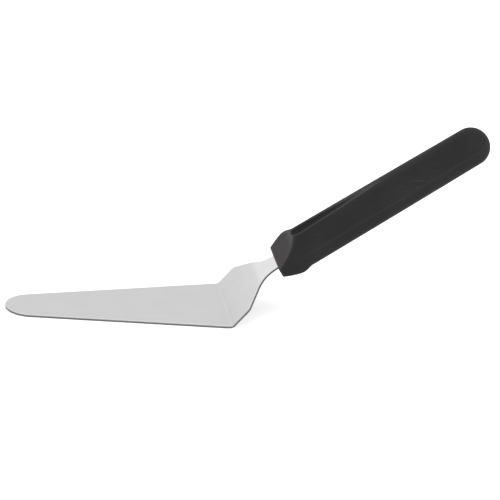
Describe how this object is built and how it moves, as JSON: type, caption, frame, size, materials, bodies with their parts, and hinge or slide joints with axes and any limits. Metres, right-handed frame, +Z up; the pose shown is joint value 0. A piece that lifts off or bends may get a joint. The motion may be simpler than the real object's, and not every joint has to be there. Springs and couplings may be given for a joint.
{
  "type": "palette knife",
  "caption": "offset palette knife: long tapered stainless blade with a round tip, cranked up through a narrow neck into a black moulded handle with a flared finger guard",
  "frame": {"origin": "under the middle of the whole knife, on the plane of the blade's flat underside", "axes": "+X from the blade's tip towards the butt of the handle, +Y across the blade, +Z up from the blade's upper face"},
  "size_m": [0.253, 0.0586, 0.1018],
  "materials": {
    "steel": "fine lengthwise satin grain, edges lightly polished",
    "handle_plastic": "black polypropylene, fine spark-eroded texture"
  },
  "bodies": {
    "root": {"blade": "steel", "handle": "handle_plastic"}
  },
  "joints": []
}
